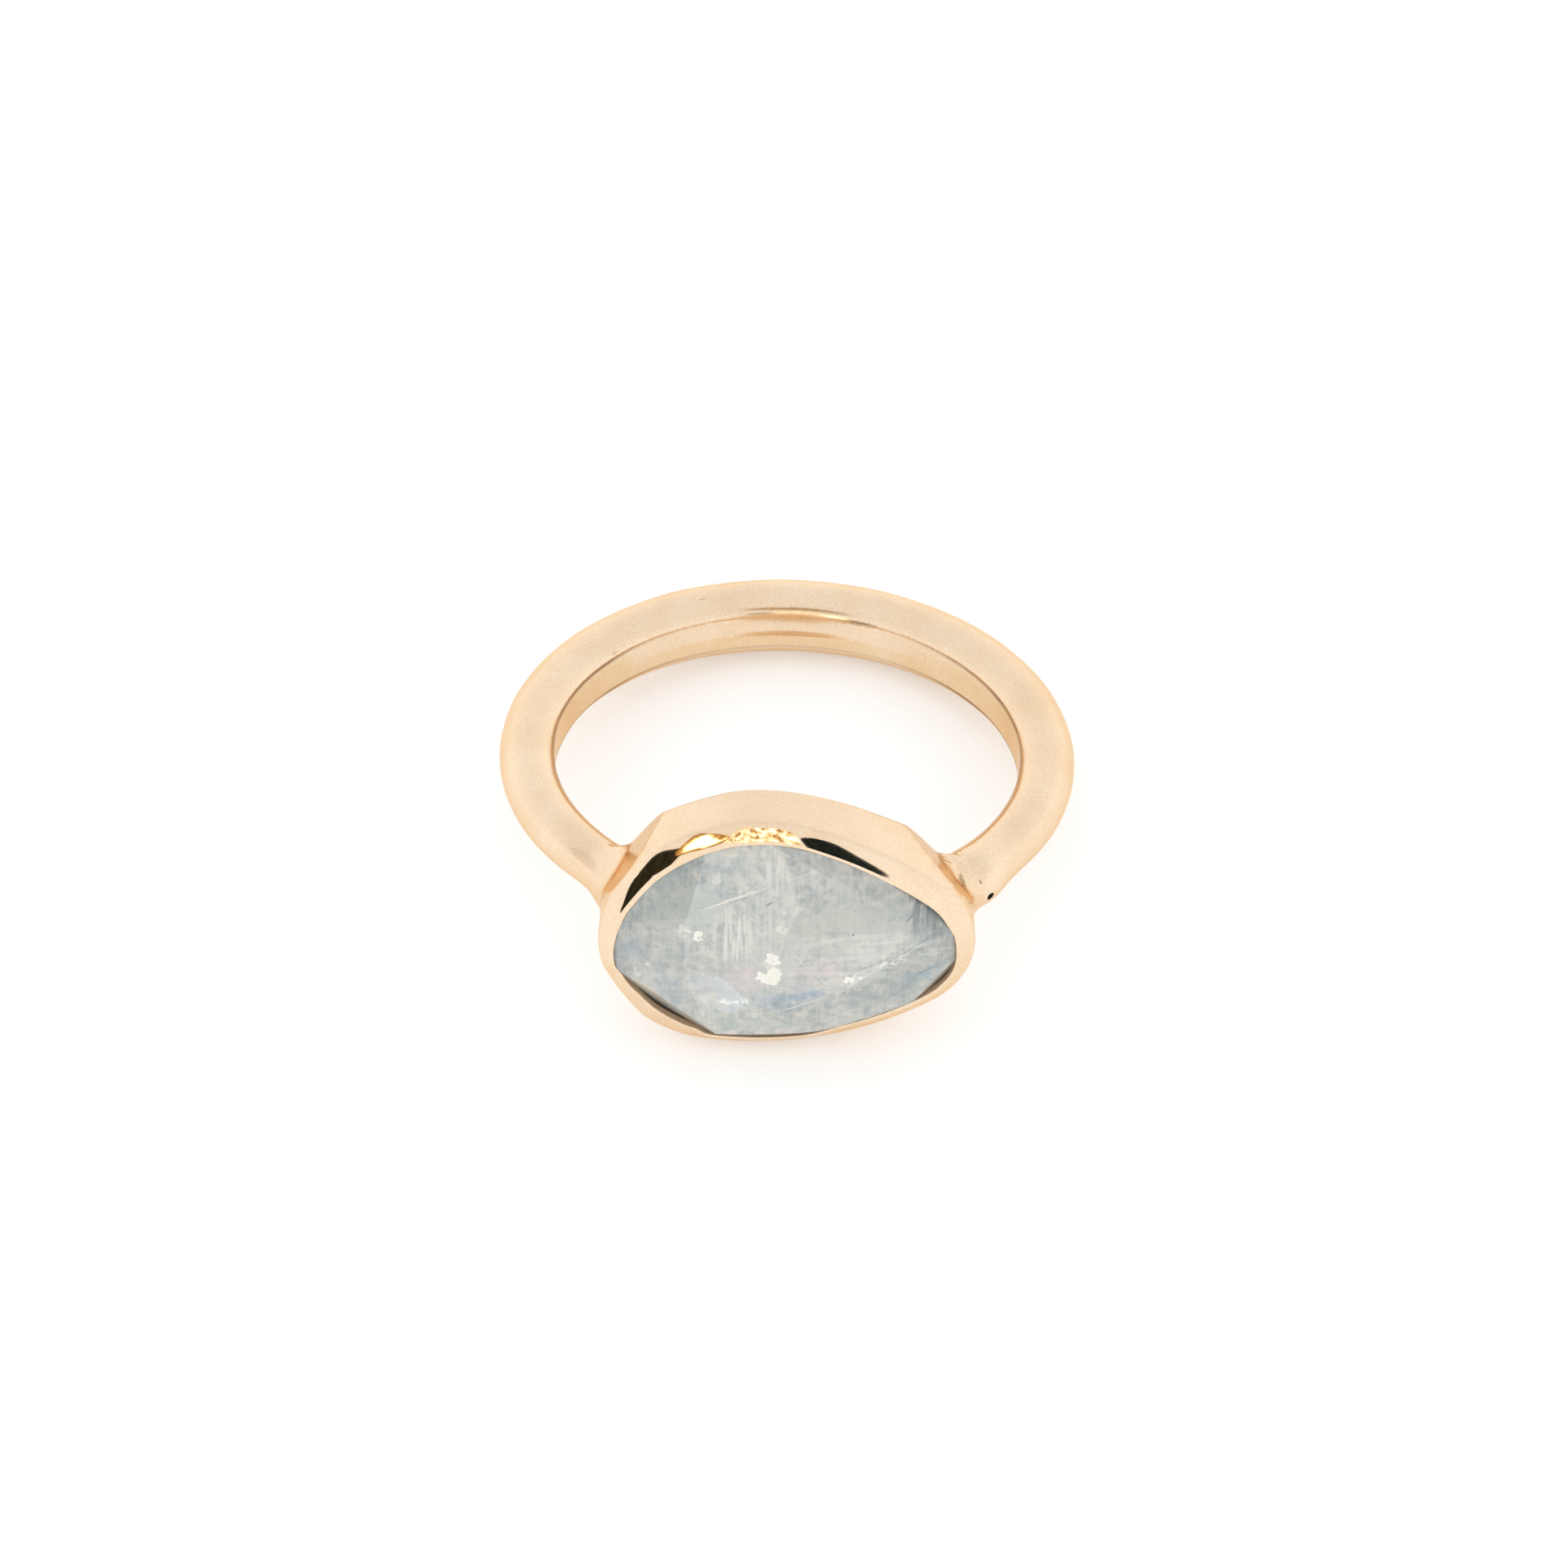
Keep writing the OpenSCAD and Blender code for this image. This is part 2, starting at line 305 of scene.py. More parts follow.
def finer(bm, chosen, cuts):
    """Splits the mesh where both ends of an edge are chosen."""
    edges = [edge for edge in bm.edges if all(chosen(vert.co) for vert in edge.verts)]
    bmesh.ops.subdivide_edges(bm, edges=edges, cuts=cuts, use_grid_fill=True)


def off_finger(point):
    """0 on the band that touches the finger, 1 from half a millimetre off it."""
    return min(1.0, max(0.0, (point.xy.length - FINGER_R - 0.05) / 0.5))


# How many spreads the lumps reach, and the share below which they are left out.
SEAM_REACH = 2.4
FAINT = 0.003


def roughen_seam(bm, angle, spread, depth):
    """Leaves the metal lumpy where the solder ran, in a band across the wire."""
    finer(bm, lambda point: abs(turned_from_back(point) - angle) < SEAM_REACH * spread, 2)
    bm.normal_update()
    for vert in bm.verts:
        near = math.exp(-(((turned_from_back(vert.co) - angle) / spread) ** 2))
        lumps = lumpy(vert.co, 0.3, 0.13, 0.7)
        if near > FAINT:
            vert.co += vert.normal * depth * near * lumps * off_finger(vert.co)


roughen_seam(wire, 138.6, 2.2, 0.04)
roughen_seam(wire, -140.5, 1.6, 0.012)
finer(wire, lambda point: from_pit(point) < PIT_FINE_R, 2)
for vert in wire.verts:
    share = from_pit(vert.co) / (PIT_R * (1 + 0.2 * noise.noise(vert.co * 4)))
    if share < 1:
        vert.co -= pit_axis * PIT_DEPTH * math.sqrt(1 - share ** 2)
for face in wire.faces:
    face.material_index = int(from_pit(face.calc_center_median()) < PIT_R)


def two_tone(name, to_a_mm, dark, light, roughness):
    """A material of two colours in soft clouds, about so many to a millimetre."""
    material, tree, shader, place = new_material(name)
    cloud = put(tree, "ShaderNodeTexNoise", {"Vector": place, "Scale": to_a_mm, "Detail": 3.0})
    colour = put(tree, "ShaderNodeMix", {
        0: cloud.outputs[0], 6: linear(dark), 7: linear(light)}, data_type="RGBA").outputs[2]
    tree.links.new(colour, shader.inputs["Base Color"])
    shader.inputs["Roughness"].default_value = roughness
    return material, tree, shader, colour


# Painted shade in the casting pit: its faces are drawn matt and almost black.
pit_shade, tree, shader, colour = two_tone("painted_shade_in_pit", 12, "#120C0A", "#3A2620", 0.8)
shank = finish_piece("shank", wire, 40, satin_gold, pit_shade)

# Cup. A strip of the same gold bent to the stone's outline and soldered to a thick floor, then
# filed to the finger and flat along its back edges. Its top edge is rubbed over the stone and
# burnished bright.

# Middle of the cup across the ring and along the finger. Heights count from the finger hole.
CUP_X = 0.15
CUP_Z = 0.2
# The outline is five arcs, each tangent to the next: the directions of the outward normal where
# they meet, and the radii of the first three. The other two close the loop.
MEETS = [53, 73, 158, 263.5, 305.5, 413]
SET_RADII = [14.2, 5.8, 4.3]
CUP_STATIONS = 240
WALL_T = 0.45
LEDGE_W = 0.95
LEDGE_H = 0.9
FLOOR_IN = 2.0
BACK_EDGE_ROUND = 0.07
BEND_H = 2.06
BEND_ROUND = 0.12
RIM_H = 2.38
CREST_ROUND = 0.03
# Facing, slope and distance of the flats filed along the back edge, as in the solids. The
# middle ones flow into each other, and the side ones keep a crisp edge.
MIDDLE_FLATS = [(112.6, 44.1, -1.78), (90, 20, -6.34), (61.4, 48.2, -1.0)]
SIDE_FLATS = [(168, 32, 3.98), (20.5, 38, 2.84)]
FLOW = 0.1
FLAT_BORDER = 0.1
# How far the rubbed-over lip reaches in, by the direction of the outline's normal.
LIP = [(9, 0.69), (28, 0.79), (57, 0.78), (75, 0.70), (98, 0.72), (124, 0.79), (146, 0.79),
       (160, 0.70), (193, 0.51), (201, 0.64), (219, 0.76), (235, 0.73), (254, 0.65), (265, 0.45),
       (281, 0.41), (289, 0.53), (334, 0.55)]
# The crest's polished land, wider at the upper left, where the lip was rubbed down hardest.
LAND_W = 0.13
LAND_UPPER_LEFT_W = 0.2
UPPER_LEFT = (100, 215)


def turn(start, end):
    """The vector that an arc of radius 1 adds to the outline between two normals."""
    a, b = math.radians(start), math.radians(end)
    return Vector((math.sin(b) - math.sin(a), math.cos(a) - math.cos(b)))


def outline_arcs():
    """Radii and centres of the outline's arcs, with the middle of its box at the origin."""
    turns = [turn(MEETS[i], MEETS[i + 1]) for i in range(5)]
    gap = -sum((radius * step for radius, step in zip(SET_RADII, turns)), Vector((0, 0)))
    closing = turns[3].cross(turns[4])
    radii = SET_RADII + [gap.cross(turns[4]) / closing, turns[3].cross(gap) / closing]
    centres = [Vector((0, 0))]
    for i in range(1, 5):
        normal = Vector((math.cos(math.radians(MEETS[i])), math.sin(math.radians(MEETS[i]))))
        centres.append(centres[-1] + (radii[i - 1] - radii[i]) * normal)
    across = (centres[2].x - radii[2] + centres[4].x + radii[4]) / 2
    upright = (centres[3].y - radii[3] + centres[1].y + radii[1]) / 2
    return radii, [centre - Vector((across, upright)) for centre in centres]


ARC_RADII, ARC_CENTRES = outline_arcs()


def outline_point(direction, inset, height):
    """A point of the cup in the ring's frame: normal's direction, inset and height."""
    direction = (direction - MEETS[0]) % 360 + MEETS[0]
    arc = sum(direction >= meet for meet in MEETS[1:5])
    normal = Vector((math.cos(math.radians(direction)), math.sin(math.radians(direction))))
    place = ARC_CENTRES[arc] + (ARC_RADII[arc] - inset) * normal
    return Vector((CUP_X + place.x, -FINGER_R - height, CUP_Z + place.y))


def lip_inset(direction):
    """The lip's reach between the rows of its table, along smooth curves."""
    rows = [(LIP[-1][0] - 360, LIP[-1][1])] + LIP + [(LIP[0][0] + 360, LIP[0][1])]
    for (start, low), (end, high) in zip(rows, rows[1:]):
        if start <= direction % 360 <= end:
            share = (direction % 360 - start) / (end - start)
            return low + (high - low) * (share * share * (3 - 2 * share))
    return low


def flat_normal(facing, slope, side):
    """The normal of a filed flat, on the upper or the lower side of the cup."""
    facing, slope = math.radians(facing), math.radians(slope)
    return Vector((math.cos(facing) * math.cos(slope), math.sin(facing) * math.cos(slope),
                   side * math.sin(slope)))


def back_depth(x, z):
    """The y of the cup's back: the finger's cylinder, with the middle flats flowing into it."""
    depths = [-math.sqrt(FINGER_R ** 2 - x * x)]
    for facing, slope, distance in MIDDLE_FLATS:
        for side in (1, -1):
            normal = flat_normal(facing, slope, side)
            depths.append((distance - normal.x * x - normal.z * z) / normal.y)
    low = min(depths)
    return low - FLOW * math.log(sum(math.exp((low - depth) / FLOW) for depth in depths))


def back_point(direction, share):
    """A point of the cup's back, at a share of the way out to the wall."""
    edge = outline_point(direction, 0, 0)
    x = CUP_X + (edge.x - CUP_X) * share
    z = CUP_Z + (edge.z - CUP_Z) * share
    return Vector((x, back_depth(x, z), z))


def wall_line(direction, share):
    """A point of the wall's outside, at a share of the way from the back edge to the bend."""
    edge = outline_point(direction, 0, 0)
    start = -FINGER_R - back_depth(edge.x, edge.z) + BACK_EDGE_ROUND
    height = start + share * (BEND_H - BEND_ROUND - start)
    wave = 0.006 * noise.noise(Vector((math.radians(direction) * 4, height * 1.5, 3)))
    return outline_point(direction, 0.006 + wave, height)


def rim_profile(direction):
    """Inset and height of the lines over the rim and down to the ledge."""
    lip = lip_inset(direction)
    wide_land = UPPER_LEFT[0] < direction < UPPER_LEFT[1]
    land = min(LAND_UPPER_LEFT_W if wide_land else LAND_W, lip * 0.3)
    rise = RIM_H - BEND_H
    wave = Vector((math.radians(direction) * 3, 0, 7))
    crest = RIM_H + 0.015 * noise.noise(wave)
    lip += 0.012 * noise.noise(wave * 2.3)
    slope = lip - land - BEND_ROUND
    foot = BEND_H + 0.2 * rise
    climb = crest - CREST_ROUND - foot
    bend = [(0.004, BEND_H - BEND_ROUND), (0.014, BEND_H - 0.05), (0.05, BEND_H + 0.02),
            (BEND_ROUND, foot), (BEND_ROUND + slope * 0.33, foot + climb * 0.38),
            (BEND_ROUND + slope * 0.67, foot + climb * 0.71), (lip - land, crest - CREST_ROUND)]
    over = [(lip - land + 0.03, crest - 0.02), (lip - 0.03, crest - 0.004), (lip - 0.01, crest - 0.008),
            (lip, crest - 0.02), (lip + 0.012, crest - 0.08), (lip, crest - 0.34)]
    seat = [(WALL_T, BEND_H - 0.15), (WALL_T, LEDGE_H), (LEDGE_W, LEDGE_H), (FLOOR_IN, LEDGE_H)]
    return bend + over + seat


# Filed and rubbed with the same grit as the shank: a soft satin shine.
filed_gold = rose_gold("rose_gold_filed", 0.17, 0.003)
# Rubbed with a smooth steel burnisher: a bright shine that mirrors the room.
polished_gold = rose_gold("rose_gold_burnished", 0.05, 0)
# Painted shade in the gap under the lip, beside the stone: a dull brown line.
lip_gap_shade, tree, shader, colour = two_tone("painted_shade_under_lip", 6, "#A5876B", "#D4B898", 0.7)
shader.inputs["Metallic"].default_value = 0.2

cup = bmesh.new()
station = cup.verts.layers.int.new("station")
bmesh.ops.create_circle(cup, cap_ends=True, segments=CUP_STATIONS, radius=1)
cup.verts.ensure_lookup_table()
for k, vert in enumerate(cup.verts):
    vert[station] = k


def next_line(open_edge, place):
    """Extrudes the cup's open edge to a new line. Gives the new edge and the faces between."""
    grown = bmesh.ops.extrude_edge_only(cup, edges=open_edge)["geom"]
    for vert in (item for item in grown if isinstance(item, bmesh.types.BMVert)):
        vert.co = place(360 * vert[station] / CUP_STATIONS)
    faces = [item for item in grown if isinstance(item, bmesh.types.BMFace)]
    return [item for item in grown if isinstance(item, bmesh.types.BMEdge) and item.is_boundary], faces


# The skin starts at the middle of the back and goes out to its edge, up the wall, over the rim
# and down to the ledge. Lines stand closer towards the edge of the back.
BACK_MIDDLE = 0.02
BACK_LINES = (0.15, 0.3, 0.45, 0.6, 0.7, 0.78, 0.84, 0.9, 0.95, 0.985)
WALL_LINES = (0.0, 0.15, 0.35, 0.6, 0.85)
BURNISHED = range(2, 11)
# The lines under the lip carry the painted shade of the gap beside the stone.
SHADED_UNDERCUT = range(11, 14)
open_edge = cup.edges[:]
for vert in cup.verts:
    vert.co = back_point(360 * vert[station] / CUP_STATIONS, BACK_MIDDLE)
for share in BACK_LINES:
    open_edge, faces = next_line(open_edge, lambda direction: back_point(direction, share))
for share in WALL_LINES:
    open_edge, faces = next_line(open_edge, lambda direction: wall_line(direction, share))
for line in range(len(rim_profile(0))):
    open_edge, faces = next_line(
        open_edge, lambda direction: outline_point(direction, *rim_profile(direction)[line]))
    for face in faces:
        face.material_index = int(line in BURNISHED) + 2 * int(line in SHADED_UNDERCUT)
bmesh.ops.contextual_create(cup, geom=open_edge)
bmesh.ops.recalc_face_normals(cup, faces=cup.faces)


def cut_flat(bm, point, normal):
    """Cuts off what lies beyond a plane. Gives the flat faces that close the cut."""
    bmesh.ops.bisect_plane(bm, geom=bm.verts[:] + bm.edges[:] + bm.faces[:], dist=1e-5,
                           plane_co=point, plane_no=normal, clear_outer=True)
    open_edge = [edge for edge in bm.edges if edge.is_boundary]
    return bmesh.ops.contextual_create(bm, geom=open_edge)["faces"]


for facing, slope, distance in SIDE_FLATS:
    for side in (1, -1):
        normal = flat_normal(facing, slope, side)
        flat = cut_flat(cup, normal * distance, normal)
        crease_shade = {vert for face in flat for vert in face.verts}
        bmesh.ops.inset_region(cup, faces=flat, thickness=FLAT_BORDER, use_even_offset=True)
        bmesh.ops.smooth_vert(cup, verts=[vert for vert in crease_shade if vert.is_valid], factor=0.5,
                              use_axis_x=True, use_axis_y=True, use_axis_z=True)
bmesh.ops.recalc_face_normals(cup, faces=cup.faces)
cup_source = cup.copy()
cup_piece = finish_piece("cup", cup, 25, filed_gold, polished_gold, lip_gap_shade)
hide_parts("ring_body")

# Solder, of a gold that melts lower. It ran along the ends of the wire and filled the corner
# with the cup, smooth on the left and rough on the right, where pinholes and a seam were left.

# Each side is the skin of the wire's end, sunk a little, that rises out of the wire to a rounded
# corner with the cup.
SOLDER_FILLET = 0.8
SOLDER_SINK = 0.02
ROUGH_SPREAD = 0.8
# A point less than this far under the cup's skin counts as inside the cup.
CUP_SKIN_T = 0.35
FILLET_HALVINGS = 9
cup_skin = BVHTree.FromBMesh(cup_source)


def filled(point, normal, radius):
    """How far the solder stands off the wire in a rounded corner with the cup."""
    if cup_skin.find_nearest(point, 2 * radius)[0] is None:
        return 0.0
    low, high = 0.0, radius
    for halving in range(FILLET_HALVINGS):
        middle = (low + high) / 2
        reached = point + normal * middle
        nearest, facing, face_number, gap = cup_skin.find_nearest(reached)
        if gap < CUP_SKIN_T and (reached - nearest).dot(facing) < 0:
            gap = 0.0
        gap = min(gap, radius)
        if middle < radius - math.sqrt(gap * (2 * radius - gap)):
            low = middle
        else:
            high = middle
    return low


def flow_solder(name, side, start, rough, middle, material):
    """The solder at one end of the wire, from an angle on, roughened round its middle."""
    solder = joint_source.copy()
    far = [vert for vert in solder.verts if turned_from_back(vert.co) * side < start]
    bmesh.ops.delete(solder, geom=far, context="VERTS")
    bmesh.ops.holes_fill(solder, edges=[edge for edge in solder.edges if edge.is_boundary])
    bmesh.ops.recalc_face_normals(solder, faces=solder.faces)
    bmesh.ops.subdivide_edges(solder, edges=solder.edges[:], cuts=2, use_grid_fill=True)
    solder.normal_update()
    heights = []
    for vert in solder.verts:
        near = math.exp(-(((vert.co - middle).length / ROUGH_SPREAD) ** 2))
        lumps = lumpy(vert.co, 0.23, 0.1, 0.6)
        outside = off_finger(vert.co)
        stands = filled(vert.co, vert.normal, SOLDER_FILLET * outside + 0.001)
        heights.append(stands + outside * rough * near * lumps - SOLDER_SINK)
    for vert, height in zip(solder.verts, heights):
        vert.co += vert.normal * height
    return finish_piece(name, solder, 60, material)


# Painted shade in the crevice beside the flat, and five pinholes painted as dark spots of shade.
SEAM_SHADE = [((6.04, -7.5, 0.75), (0.2, 0.6, 0.45), 15, "#8F7550", 0.55),
               ((6.19, -8.2, 0.9), (0.2, 0.5, 0.35), 15, "#7C6340", 0.65),
               ((6.42, -8.75, 0.95), (0.18, 0.4, 0.3), 15, "#6A5034", 0.75),
               ((6.58, -7.22, 1.03), (0.10, 0.14, 0.10), 0, "#4E3826", 0.9),
               ((6.5, -7.78, 0.67), (0.10, 0.14, 0.13), 0, "#5E4630", 0.9),
               ((6.9, -7.67, 0.56), (0.10, 0.13, 0.12), 0, "#4E3826", 0.9),
               ((6.88, -7.81, 0.31), (0.09, 0.12, 0.10), 0, "#4E3826", 0.9),
               ((6.58, -8.0, 0.05), (0.12, 0.18, 0.17), 0, "#5E4630", 0.9)]
# Only roughly cleaned up: a coarser grain that scatters the light, with brown spots of painted shade.
soldered_gold = rose_gold("rose_gold_solder", 0.2, 0.006, stains_and_shade=SEAM_SHADE)
solder_left = flow_solder("solder_left", -1, 118, 0.012, Vector((-5.9, -7.6, 0.7)), satin_gold)
solder_right = flow_solder("solder_right", 1, 137.6, 0.09, Vector((6.3, -7.1, 0.7)), soldered_gold)

# Moonstone. A free-form drop of white feldspar, cut as a rose: a small table, an inner star of
# facets and a row of facets that runs under the rim. It lies on the cup's ledge, and the lip
# holds it down.

STONE_BASE_H = 0.96
GIRDLE_GAP = 0.08
GIRDLE_IN = WALL_T + GIRDLE_GAP
TABLE_H = 3.34
# The rough is sawn a little higher than the table before the facets are cut.
ROUGH_OVER = 0.2
# Corners of the inner star: x, y and height above the finger hole, in the cup's own frame.
STAR = [(-3.43, 1.38, 3.05), (1.15, 3.26, 2.85), (5.10, 0.80, 2.62), (1.80, -1.83, 3.00),
        (-0.59, -3.06, 2.88), (-3.50, -1.08, 2.98)]
APEX = Vector((-0.10, 0.91, 3.42))
# Corners of the facets under the rim: direction of the outline's normal, inset and height.
RIM_CORNERS = [(196, 0.50, 2.32), (221, 1.30, 2.46), (256, 0.80, 2.34), (264, 0.40, 2.33),
               (284, 0.34, 2.33), (302, 0.47, 2.33), (342, 0.76, 2.34), (19, 0.67, 2.33),
               (61, 0.70, 2.33), (71, 0.66, 2.33), (90, 0.64, 2.33), (113, 0.69, 2.33),
               (141, 0.72, 2.33), (165, 0.60, 2.33)]
# Steep facets that show as dark slivers beside the lip: the two corners of each in the list
# above, and the direction in which it reaches down to the height of its foot.
SLIVERS = [(0, 1, 209), (1, 2, 240), (5, 6, 322)]
SLIVER_FOOT_H = 1.97
EDGE_WORN = 0.012
# Facets that meet at less than this flow into each other, without a worn edge.
SOFT_EDGE_DEG = 2.5
# A facet shows if its outward normal has less than this along the ring's y.
FACES_OUT = -0.5


def in_cup(x, y, height):
    """A point of the cup's own frame in the ring's frame."""
    return Vector((CUP_X + x, -FINGER_R - height, CUP_Z + y))


# What shows in the stone, from the large clouds to the small flakes, with a few lines of painted
# highlight: middle in the cup's own frame, half sizes, turn, colour, strength, how much of the mark
# is full, and what it is made of.
MARKS = [
    (0.0, 0.0, 9.0, 7.0, 0, "#A3AEB0", 0.35, 0.9, "cloud"),
    (0.0, 0.0, 9.0, 7.0, 0, "#D9D8D0", 0.22, 0.9, "striae"),
    (0.0, 0.0, 9.0, 7.0, 0, "#DFE0DA", 0.22, 0.9, "domains"),
    (1.0, 0.0, 9.0, 7.0, 0, "#DDDDD6", 0.12, 0.9, "veins"),
    (2.2, -0.2, 3.2, 2.2, 24, "#DCDBD3", 0.45, 0.3, "layers"),
    (-3.6, 2.2, 2.6, 1.7, 20, "#A2B0B2", 0.55, 0.2, "cloud"),
    (1.6, 1.1, 3.0, 1.5, 5, "#CECBC1", 0.6, 0.2, "cloud"),
    (-1.4, 0.2, 1.6, 1.9, 0, "#CFCDC6", 0.55, 0.2, "cloud"),
    (-5.4, -0.6, 0.9, 0.8, -30, "#8AA6BA", 0.6, 0.1, "cloud"),
    (-3.9, -2.1, 1.3, 0.8, -38, "#88A4B8", 0.7, 0.2, "cloud"),
    (-0.2, -2.2, 1.6, 0.6, 6, "#86A4BC", 0.6, 0.1, "cloud"),
    (0.9, -1.8, 1.2, 0.4, 20, "#88A6BE", 0.6, 0.2, "cloud"),
    (4.6, -1.3, 1.2, 0.5, 30, "#95ABB8", 0.7, 0.2, "layers"),
    (5.0, 1.3, 1.3, 1.5, -20, "#74848A", 0.75, 0.3, "striae"),
    (3.3, -1.9, 2.0, 0.9, 22, "#98A5A6", 0.65, 0.3, "cloud"),
    (-1.3, -3.5, 2.2, 0.42, 2, "#AEBBB2", 0.8, 0.4, "cloud"),
    (-2.5, -1.9, 1.35, 0.8, -42, "#CFD4D6", 0.75, 0.85, "cloud"),
    (-1.3, -1.1, 1.1, 0.9, 0, "#DAC6D0", 0.65, 0.1, "cloud"),
    (1.2, -0.6, 1.2, 0.6, 10, "#DCC9CC", 0.65, 0.1, "cloud"),
    (0.4, -1.4, 0.8, 0.5, 0, "#CBC2CC", 0.5, 0.1, "cloud"),
    (-1.8, 0.7, 0.85, 1.3, -4, "#E0DED6", 0.75, 0.5, "striae"),
    (-0.5, 3.3, 0.42, 1.2, 2, "#D9D9D1", 0.7, 0.3, "striae"),
    (-0.45, 1.4, 0.5, 1.2, 2, "#D6D1C6", 0.5, 0.3, "striae"),
    (1.3, 1.9, 1.7, 0.1, 22, "#B2BDBF", 0.5, 0.3, "layers"),
    (3.3, 1.4, 1.5, 0.9, 24, "#BEC3BF", 0.55, 0.3, "layers"),
    (4.4, 1.8, 0.75, 0.35, -38, "#7F8B8B", 0.75, 0.2, "striae"),
    (3.9, -0.7, 2.0, 0.22, 22, "#CDD3D0", 0.8, 0.6, "layers"),
    (4.6, 0.15, 1.4, 0.12, 24, "#D6D9D3", 0.7, 0.5, "layers"),
    (3.3, -0.42, 1.5, 0.05, 24, "#8C9CA3", 0.65, 0.3, "plain"),
    (4.9, -1.0, 0.8, 0.05, 30, "#86959B", 0.6, 0.3, "plain"),
    # Two light lines along the star's upper edge are painted highlights of the facet edge.
    (-1.9, 2.15, 1.7, 0.045, 23, "#E9E6DA", 0.8, 0.5, "plain"),
    (0.3, 3.1, 1.2, 0.035, 24, "#D9D7CC", 0.45, 0.3, "plain"),
    (-0.55, -0.98, 0.52, 0.3, 15, "#F2F0E4", 0.95, 0.92, "chips"),
    (-0.5, -0.25, 0.22, 0.6, 12, "#F0EEE2", 0.95, 0.9, "chips"),
    (-3.5, 0.8, 0.26, 0.28, 0, "#E6E4DA", 0.85, 0.8, "flake"),
    (-3.0, 0.66, 0.22, 0.27, 0, "#F0EEE3", 0.95, 0.85, "flake"),
    (-4.76, -1.02, 0.16, 0.12, 0, "#E2E4E0", 0.8, 0.8, "flake"),
    (-1.9, -2.36, 0.8, 0.16, 14, "#ECEEE8", 0.9, 0.7, "flake"),
    (2.25, -1.12, 0.34, 0.18, 15, "#F1EFE3", 0.95, 0.8, "flake"),
    (3.7, -0.48, 0.9, 0.22, 24, "#E6E5DA", 0.85, 0.5, "flake"),
    (-2.4, 2.75, 0.2, 0.34, -10, "#DADAD0", 0.7, 0.6, "flake"),
    (-0.25, 1.2, 0.35, 0.3, 0, "#E4E1D5", 0.75, 0.5, "flake"),
    (0.19, 3.56, 0.13, 0.12, 30, "#8A938F", 0.6, 0.4, "cloud"),
    (2.26, 0.86, 0.05, 0.1, 0, "#77827F", 0.85, 0.4, "plain"),
    (-0.63, 2.11, 0.18, 0.06, 30, "#858C88", 0.75, 0.4, "plain"),
    (2.92, 2.92, 0.08, 0.03, 30, "#7F8886", 0.7, 0.4, "plain"),
    (-4.48, -0.08, 0.06, 0.04, 0, "#7F8886", 0.7, 0.4, "plain"),
    # Three light lines along the star's edges from its lower right corner are painted highlights.
    (3.67, -0.45, 2.3, 0.035, 35, "#DDE1DC", 0.75, 0.6, "plain"),
    (0.65, -2.3, 1.3, 0.04, 25, "#D8DEDA", 0.7, 0.5, "plain"),
    (0.86, -0.59, 1.5, 0.03, -52, "#DADBD6", 0.65, 0.5, "plain"),
    (-1.6, -2.0, 0.9, 0.03, -45, "#DCE0E0", 0.65, 0.5, "plain"),
    # Two beige lines along the lower left border are painted highlights of a lit bevel.
    (-4.75, -2.16, 0.75, 0.09, -34, "#D2C4AC", 0.75, 0.5, "plain"),
    (-4.2, -2.75, 0.5, 0.08, -54, "#D2C4AC", 0.7, 0.5, "plain"),
    (5.0, 1.1, 1.1, 1.2, 0, "#848F90", 0.75, 0.2, "cloud"),
    (-3.9, 1.9, 2.2, 1.4, 20, "#C3C6BE", 0.6, 0.2, "domains"),
    (4.54, 1.95, 0.1, 0.36, -28, "#7E8886", 0.75, 0.4, "plain"),
    (4.18, 1.36, 0.24, 0.05, 50, "#828D8C", 0.75, 0.4, "plain"),
]
# A mark goes right through the stone, whatever its height.
RIGHT_THROUGH = 1000


def show_on_facets(tree, shader, colour):
    """Multiplies a colour by each facet's painted shade."""
    facet_shade = put(tree, "ShaderNodeAttribute", attribute_name="painted_facet_shade")
    toned = put(tree, "ShaderNodeMix", {0: 1.0, 6: colour, 7: facet_shade.outputs["Fac"]}, data_type="RGBA",
                blend_type="MULTIPLY")
    tree.links.new(toned.outputs[2], shader.inputs["Base Color"])


